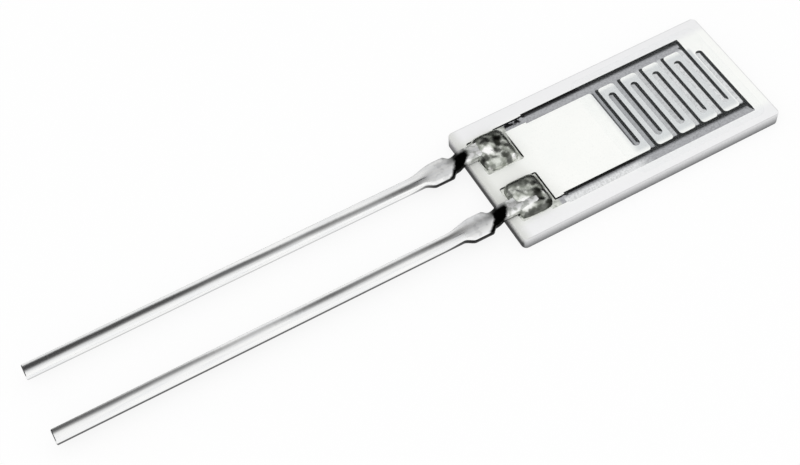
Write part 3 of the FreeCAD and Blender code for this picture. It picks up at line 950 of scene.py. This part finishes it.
def comb_corners(low, high, side):
    """Corner points and radii of one comb, with its bar on the +Y side."""
    outer = max(abs(low.y), abs(high.y))
    tip = -min(abs(low.y), abs(high.y))
    inner = outer - BAR_WIDTH
    lap_end = low.x + LAP
    lap_outer = outer - LAP_INSET
    lap_inner = lap_outer - TAIL_WIDTH
    points = [(low.x, lap_outer), (lap_end, lap_outer), (lap_end, outer), (high.x, outer)]
    radii = [0, 0, 0, 0]
    step = 2 * (FINGER_WIDTH + FINGER_GAP)
    for number in range(FINGERS):
        right = high.x - number * step
        left = right - FINGER_WIDTH
        if number > 0:
            points.append((right, inner))
            radii.append(ROOT_RADIUS)
        points += [(right, tip), (left, tip), (left, inner)]
        radii += [TIP_RADIUS, TIP_RADIUS, ROOT_RADIUS]
    points += [(lap_end, inner), (lap_end, lap_inner), (low.x, lap_inner)]
    radii += [0, 0, 0]
    return [(x, side * y) for x, y in points], radii


def crown_bar(bm, inner, outer, side):
    """Raises a bar along its middle: rows of cuts first, then a parabola across them."""
    for number in range(1, CROWN_CUTS):
        level = inner + (outer - inner) * number / CROWN_CUTS
        bmesh.ops.bisect_plane(
            bm, geom=bm.verts[:] + bm.edges[:] + bm.faces[:],
            plane_co=(0, side * level, 0), plane_no=(0, 1, 0),
        )
    for vert in bm.verts:
        share = (side * vert.co.y - inner) / (outer - inner)
        if 0 < share < 1 and vert.co.z > PLATE_TOP:
            vert.co.z += BAR_CROWN * 4 * share * (1 - share)


def raise_lap(bm, start, height):
    """Lifts the bar's end, so that it lies on the pad's tail."""
    for vert in bm.verts:
        over = max(0.0, min(1.0, (start + 2 * LAP - vert.co.x) / LAP))
        vert.co.z += height * over


def make_comb(side_name, side):
    """One comb: its outline, domed, with a crowned bar and a raised lap."""
    node = f"{side_name}_comb_electrode"
    low, high = box_mm(node)
    points, radii = comb_corners(low, high, side)
    bm = bmesh.new()
    outline = round_outline(bm, points, PLATE_TOP, radii)
    dome(bm, outline, COMB_THICK, COMB_REACH)
    outer = max(abs(low.y), abs(high.y))
    crown_bar(bm, outer - BAR_WIDTH, outer, side)
    raise_lap(bm, low.x, high.z - low.z - COMB_THICK - BAR_CROWN)
    return finish_piece(bm, f"{side_name}_comb_print", comb_print, node)


for side_name, side in SIDES.items():
    make_comb(side_name, side)

# %% [markdown]
# ## The film
# The film lies over both combs and fills the stripes between them. One low dome with wide, soft
# shoulders is enough, because light goes through it to the print and the ceramic below.

# %% Make the film
FILM_CORNER = 0.35
FILM_REACH = 0.3
FILM_FLOAT = 0.001


def make_film():
    """The film, a hair above the plate so that the two don't share a face."""
    low, high = box_mm("humidity_film")
    points = [(low.x, low.y), (high.x, low.y), (high.x, high.y), (low.x, high.y)]
    bm = bmesh.new()
    outline = round_outline(bm, points, PLATE_TOP + FILM_FLOAT, [FILM_CORNER] * 4)
    dome(bm, outline, high.z - low.z - FILM_FLOAT, FILM_REACH)
    return finish_piece(bm, "sensing_film", clear_film, "humidity_film")


make_film()

# %% [markdown]
# ## The leads
# A lead is a flat strip with a tongue on the pad, a small step down called a joggle, a wide
# shoulder and a long narrow leg. It could be swept along a curve, but then its two sides couldn't
# taper unequally. So a square with round corners is extruded through stations along the strip,
# and then every ring is given the width and the level that the strip has at its place. First come
# the rules for that width and level. The far side narrows over a longer stretch than the near one.

# %% The strip's width and level
TONGUE_WIDTH = 0.55
SHOULDER_WIDTH = 0.86
LEG_WIDTH = 0.5
LEAD_THICK = 0.25
LEG_DROP = 0.17
JOGGLE_RADIUS = 0.275
JOGGLE_START = -0.05
SHOULDER_START = -0.45
SHOULDER_FULL = -0.66
NEAR_TAPER = (-1.28, -1.66)
FAR_TAPER = (-1.05, -2.1)
TIP_ROUND = 0.04


def smooth_step(value, start, end):
    """0 before start, 1 after end, and a smooth curve between them."""
    share = max(0.0, min(1.0, (value - start) / (end - start)))
    return share * share * (3 - 2 * share)


def half_width(along, taper=NEAR_TAPER):
    """Half of the strip's width at a distance along it from the plate's lead end."""
    widened = smooth_step(along, SHOULDER_START, SHOULDER_FULL)
    narrowed = smooth_step(along, *taper)
    width = TONGUE_WIDTH + (SHOULDER_WIDTH - TONGUE_WIDTH) * widened
    return (width + (LEG_WIDTH - width) * narrowed) / 2


def joggle_drop(along):
    """How far the strip has stepped down, along two equal arcs."""
    run = math.sqrt(LEG_DROP * (4 * JOGGLE_RADIUS - LEG_DROP))
    gone = max(0.0, min(run, JOGGLE_START - along))
    into = min(gone, run - gone)
    part = JOGGLE_RADIUS - math.sqrt(JOGGLE_RADIUS ** 2 - into ** 2)
    return part if gone <= run / 2 else LEG_DROP - part


print(f"leg is {2 * half_width(-5):.2f} mm wide and {joggle_drop(-5):.2f} mm below the tongue")

# %% [markdown]
# A strip that is sheared from a sheet has one edge that rolls over. The top falls a few degrees
# towards that edge and levels out again at the rim, and on a mirror those few degrees draw a soft
# grey band along the strip. The band swells, fades and wanders a little, so each lead has a short
# list. An item holds a distance from the plate, the steepest fall there in degrees, and where
# across the strip the top is steepest, in half widths from its middle.

# %% The rolled edge of each lead
ROLLED_EDGE = {
    "left": [
        (-16, 9, 0.42), (-12, 8.3, 0.35), (-9, 6.9, 0.25), (-6, 5.5, 0.06), (-3.5, 4.6, -0.12),
        (-1.9, 6, -0.15), (-1, 2, 0.3),
    ],
    "right": [
        (-16, 8.2, 0.72), (-12, 7, 0.65), (-9, 5.2, 0.5), (-6, 7.4, 0.45), (-3.5, 6, 0.45),
        (-1.9, 6.8, 0.4), (-1, 5, 0.3),
    ],
}
SWELLS_OVER = 1.1
EASES_OVER = 0.6


def rolled_at(along, places):
    """Steepest fall in radians and its place across the strip, at a distance along it."""
    fall, across = places[0][1:]
    for (start, *_), (end, next_fall, next_across) in zip(places, places[1:]):
        share = smooth_step(along, start, end)
        fall += (next_fall - fall) * share
        across += (next_across - across) * share
    return math.radians(fall), across


def swell(share):
    """Area under a slope that grows from 0 to 1 along a cosine, up to a share of its run."""
    return (share - math.sin(math.pi * share) / math.pi) / 2


def rolled_drop(across, fall, steepest_at):
    """Drop of the top, in half widths of the strip. It is steepest at one place across it."""
    past = across - steepest_at
    grown = max(0.0, min(1.0, 1 + past / SWELLS_OVER))
    eased = max(0.0, min(1.0, past / EASES_OVER))
    return math.tan(fall) * (SWELLS_OVER * swell(grown) + EASES_OVER * (swell(1) - swell(1 - eased)))


for side_name, places in ROLLED_EDGE.items():
    print(f"the {side_name} leg's tip falls by up to {places[0][1]} degrees")

# %% [markdown]
# Shearing and tinning have rounded the section, on the near side much more than on the far one. Its
# flat top is cut into narrow strips, because one wide face couldn't follow the roll. The stations
# lie close together where the strip bends or widens, and far apart along the leg.

# %% Make the leads
NEAR_ROUND = 0.3
FAR_ROUND = 0.03
FLAT_STRIP = 0.07
COARSE_STEP = 0.25
FINE_STEP = 0.03
FINE_UNTIL = -2.0


def lead_stations(start, end):
    """Distances along the strip, close together round the joggle and the shoulder."""
    stations = [start, start - TIP_ROUND / 3, start - TIP_ROUND]
    while stations[-1] > FINE_UNTIL:
        stations.append(stations[-1] - FINE_STEP)
    while stations[-1] > end + COARSE_STEP:
        stations.append(stations[-1] - COARSE_STEP)
    return stations + [end + TIP_ROUND, end + TIP_ROUND / 3, end]


def wide_edges(bm):
    """Edges of the section that still reach too far across the strip to bend smoothly."""
    return [edge for edge in bm.edges if abs(edge.verts[0].co.y - edge.verts[1].co.y) > FLAT_STRIP]


def section(bm, start):
    """Face across the strip: a square of half width 1 with round corners and a cut-up top."""
    near = [bm.verts.new((start, -1, -1)), bm.verts.new((start, -1, 1))]
    far = [bm.verts.new((start, 1, 1)), bm.verts.new((start, 1, -1))]
    bm.faces.new(near + far)
    for corners, radius in ((near, NEAR_ROUND), (far, FAR_ROUND)):
        bmesh.ops.bevel(
            bm, geom=corners, offset=radius, offset_type="OFFSET", segments=6,
            profile=0.5, affect="VERTICES", material=-1,
        )
    wide = wide_edges(bm)
    while wide:
        for edge in wide:
            bmesh.utils.edge_split(edge, edge.verts[0], 0.5)
        wide = wide_edges(bm)
    return next(iter(bm.faces))


def tip_shrink(along, start, end):
    """How much smaller the section is near the strip's two ends, to round them."""
    from_end = max(0.0, min(start - along, along - end, TIP_ROUND))
    return TIP_ROUND - math.sqrt(TIP_ROUND ** 2 - (TIP_ROUND - from_end) ** 2)


def make_lead(side_name):
    """One lead: a straight bar first, whose points are then moved to their places."""
    low, high = box_mm(f"{side_name}_lead")
    middle_y = (low.y + high.y) / 2
    start = high.x - LEAD_END
    end = low.x - LEAD_END
    bm = bmesh.new()
    cap = section(bm, start)
    stations = lead_stations(start, end)
    for before, after in zip(stations, stations[1:]):
        cap = push(bm, cap, (after - before, 0, 0))
    for vert in bm.verts:
        along = vert.co.x
        shrink = tip_shrink(along, start, end)
        taper = FAR_TAPER if vert.co.y > 0 else NEAR_TAPER
        half = half_width(along, taper)
        drop = half * rolled_drop(vert.co.y, *rolled_at(along, ROLLED_EDGE[side_name]))
        level = high.z - LEAD_THICK / 2 - joggle_drop(along)
        up = vert.co.z * (LEAD_THICK / 2 - shrink) - drop * max(0.0, vert.co.z)
        vert.co = Vector((LEAD_END + along, middle_y + vert.co.y * (half - shrink), level + up))
    name = f"{side_name}_tinned_lead"
    return finish_piece(bm, name, tinned_lead, f"{side_name}_lead")


for side_name in SIDES:
    make_lead(side_name)

# %% [markdown]
# ## The solder
# Solder that was heated by hand lies in a lumpy mound with a steep foot that follows the pad. It
# could be sculpted by hand, but a few numbers can be checked against the real one. A ball is
# squared off to the pad's shape and flattened to a level. A few soft lumps are then laid on it,
# and a fine ripple goes over all of them. An item holds a lump's distance from the plate's lead
# end, its distance from the middle line, its radius and its rise.

# %% The lumps of each mound
SOLDER_LEVEL = 0.24
LUMPS = {
    "left": [(0.78, 1.26, 0.3, 0.03), (1.34, 0.9, 0.12, 0.02), (1.12, 1.25, 0.2, 0.025)],
    "right": [(0.7, 0.78, 0.4, 0.03), (1.22, 1.6, 0.12, 0.03), (1.1, 1.2, 0.2, 0.01)],
}


def lump_height(along, out, lumps):
    """Height of a mound above its pad, without its foot."""
    height = SOLDER_LEVEL
    for lump_along, lump_out, radius, rise in lumps:
        away = ((along - lump_along) ** 2 + (out - lump_out) ** 2) / radius ** 2
        height += rise * math.exp(-away)
    return height


print("lumps:", {side_name: len(lumps) for side_name, lumps in LUMPS.items()})

# %% [markdown]
# The ball is an icosphere, because its faces are equally fine all over. Seen from above, a point
# keeps its direction, and its distance from the middle becomes a height: level almost to the
# outline, then down steeply. The ripple is noise with finer ripples in it, and the two mounds read
# it at places far apart, so that they don't match. At the end the ball is cut flat at the pad.

# %% Make the solder
SOLDER_LONG = 1.24
FOOT_ROUND = 9
FOOT_STEEP = 0.42
CORNER_POWER = 5
BALL_SUBDIVISIONS = 6
RIPPLE_HEIGHT = 0.014
RIPPLE_SIZE = 0.3
RIPPLES_APART = 7.3
FINER_FADE = 1.0
FINER_BY = 2.0
FINER_LEVELS = 2


def squared(turn):
    """How far a rounded square reaches in a direction in which a circle reaches 1."""
    bulk = abs(math.cos(turn)) ** CORNER_POWER + abs(math.sin(turn)) ** CORNER_POWER
    return bulk ** (-1 / CORNER_POWER)


def ripple_at(x, y, side):
    """Height of the fine ripple, above or below the mound."""
    place = Vector((x, y, side * RIPPLES_APART)) / RIPPLE_SIZE
    return noise.fractal(place, FINER_FADE, FINER_BY, FINER_LEVELS) * RIPPLE_HEIGHT


def make_solder(side_name, side):
    """One mound: a ball whose points are moved to their places and which is then cut."""
    node = f"{side_name}_solder_joint"
    low, high = box_mm(node)
    middle_y = (low.y + high.y) / 2
    half_y = (high.y - low.y) / 2
    bm = bmesh.new()
    bmesh.ops.create_icosphere(bm, subdivisions=BALL_SUBDIVISIONS, radius=1)
    for vert in bm.verts:
        reach = math.hypot(vert.co.x, vert.co.y)
        turn = math.atan2(vert.co.y, vert.co.x)
        spread = reach * squared(turn)
        x = low.x + (1 + math.cos(turn) * spread) * SOLDER_LONG / 2
        y = middle_y + math.sin(turn) * spread * half_y
        foot = max(0.0, 1 - reach ** FOOT_ROUND) ** FOOT_STEEP
        top = lump_height(x - LEAD_END, side * y, LUMPS[side_name]) + ripple_at(x, y, side)
        vert.co = Vector((x, y, low.z + math.copysign(foot * top, vert.co.z)))
    cut = bmesh.ops.bisect_plane(
        bm, geom=bm.verts[:] + bm.edges[:] + bm.faces[:], plane_co=(0, 0, low.z),
        plane_no=(0, 0, -1), clear_outer=True,
    )["geom_cut"]
    rim = [item for item in cut if isinstance(item, bmesh.types.BMEdge)]
    bmesh.ops.contextual_create(bm, geom=rim)
    return finish_piece(bm, f"{side_name}_solder", solder, node)


for side_name, side in SIDES.items():
    make_solder(side_name, side)

# %% [markdown]
# ## Table, light and surroundings
# The table is plain and pale. A floor that is only lit turns grey away from the lamp, so the camera
# sees it for the most part as white light, with the faintest shadow left in it. Metal and the film
# see it in the same way, and for the light that falls on the object it is an ordinary matt floor.

# %% The table
TABLE_SIZE = 600
TABLE_GAP = 0.002
TABLE_GLOW = 0.85


def build_table(recipe):
    camera = recipe.node("LightPath", output="Is Camera Ray")
    glossy = recipe.node("LightPath", output="Is Glossy Ray")
    through = recipe.node("LightPath", output="Is Transmission Ray")
    matt = recipe.node("BsdfDiffuse", sockets={"Color": colour(250, 250, 250)})
    white = recipe.node("Emission", sockets={"Color": (1, 1, 1, 1), "Strength": 1.0})
    seen = (camera + glossy + through) * TABLE_GLOW
    return recipe.node("MixShader", sockets={0: seen, 1: matt, 2: white})


def make_table():
    """A wide flat floor, a hair below the object."""
    bm = bmesh.new()
    bmesh.ops.create_grid(bm, x_segments=1, y_segments=1, size=TABLE_SIZE / 2 * MM)
    bmesh.ops.translate(bm, vec=(0, 0, -TABLE_GAP * MM), verts=bm.verts)
    mesh = bpy.data.meshes.new("table")
    bm.to_mesh(mesh)
    bm.free()
    mesh.materials.append(new_finish("table_white", build_table))
    table = bpy.data.objects.new("table", mesh)
    bpy.context.collection.objects.link(table)


make_table()

# %% [markdown]
# Bright metal only looks like metal when it has something dark to mirror. Dark and white panels
# could be hung round the object, but a world whose light depends on the direction does the same
# with a few nodes. The camera sees it white and it lights the object evenly. To metal it is white
# above and dark towards the far side, like the space behind a studio table.

# %% The surroundings
BRIGHT_SIDE = Vector((-0.33, -0.45, 0.83)).normalized()
DARK_BAND = Vector((0.3, -0.6, 1))
CEILING_EDGE = (0.2, 0.33)
BAND_EDGE = (0.25, 0.48)
DARKEST = 0.03
AMBIENT = 0.92


def towards(recipe, direction, side):
    """How far a direction points towards a side."""
    return recipe.node(
        "VectorMath", {"operation": "DOT_PRODUCT"}, {0: direction, 1: side}, output="Value",
    )


def make_world():
    """White for the camera, even for the object, and a ceiling over a dark side for metal."""
    world = bpy.data.worlds.new("studio")
    world.use_nodes = True
    bpy.context.scene.world = world
    world.cycles.sampling_method = "NONE"
    recipe = Recipe(world.node_tree)
    direction = recipe.node("TexCoord", output="Generated")
    ceiling = ramp(recipe, towards(recipe, direction, BRIGHT_SIDE), *CEILING_EDGE)
    ceiling = ceiling * ramp(recipe, towards(recipe, direction, DARK_BAND), *BAND_EDGE)
    mirrored = DARKEST + (1 - DARKEST) * ceiling
    camera = recipe.node("LightPath", output="Is Camera Ray")
    glossy = recipe.node("LightPath", output="Is Glossy Ray")
    unseen = glossy * mirrored + (1 - glossy) * AMBIENT
    strength = camera + (1 - camera) * unseen
    sky = recipe.node("Background", sockets={"Color": (1, 1, 1, 1), "Strength": strength})
    recipe.node("OutputWorld", sockets={"Surface": sky})
    print(f"world: {len(world.node_tree.nodes)} nodes")


make_world()

# %% [markdown]
# Even light from all round leaves hardly a shadow, so a large soft lamp overhead gives it a
# direction. Neither the camera nor the metal sees the lamp, which would show there as a square.

# %% The lamp
LAMP_SIZE = 120
LAMP_POWER = 0.03
LAMP_PLACE = Vector((-40, -60, 150))


def make_lamp():
    """A square lamp that faces the plate."""
    data = bpy.data.lights.new("soft_lamp", "AREA")
    data.size = LAMP_SIZE * MM
    data.energy = LAMP_POWER
    lamp = bpy.data.objects.new("soft_lamp", data)
    turn = LAMP_PLACE.to_track_quat("Z", "Y")
    lamp.matrix_world = Matrix.Translation(LAMP_PLACE * MM) @ turn.to_matrix().to_4x4()
    lamp.visible_camera = False
    lamp.visible_glossy = False
    bpy.context.collection.objects.link(lamp)
    print(f"lamp {LAMP_PLACE.length:.0f} mm away, {LAMP_SIZE} mm wide")


make_lamp()
bpy.context.scene.view_settings.view_transform = "Standard"
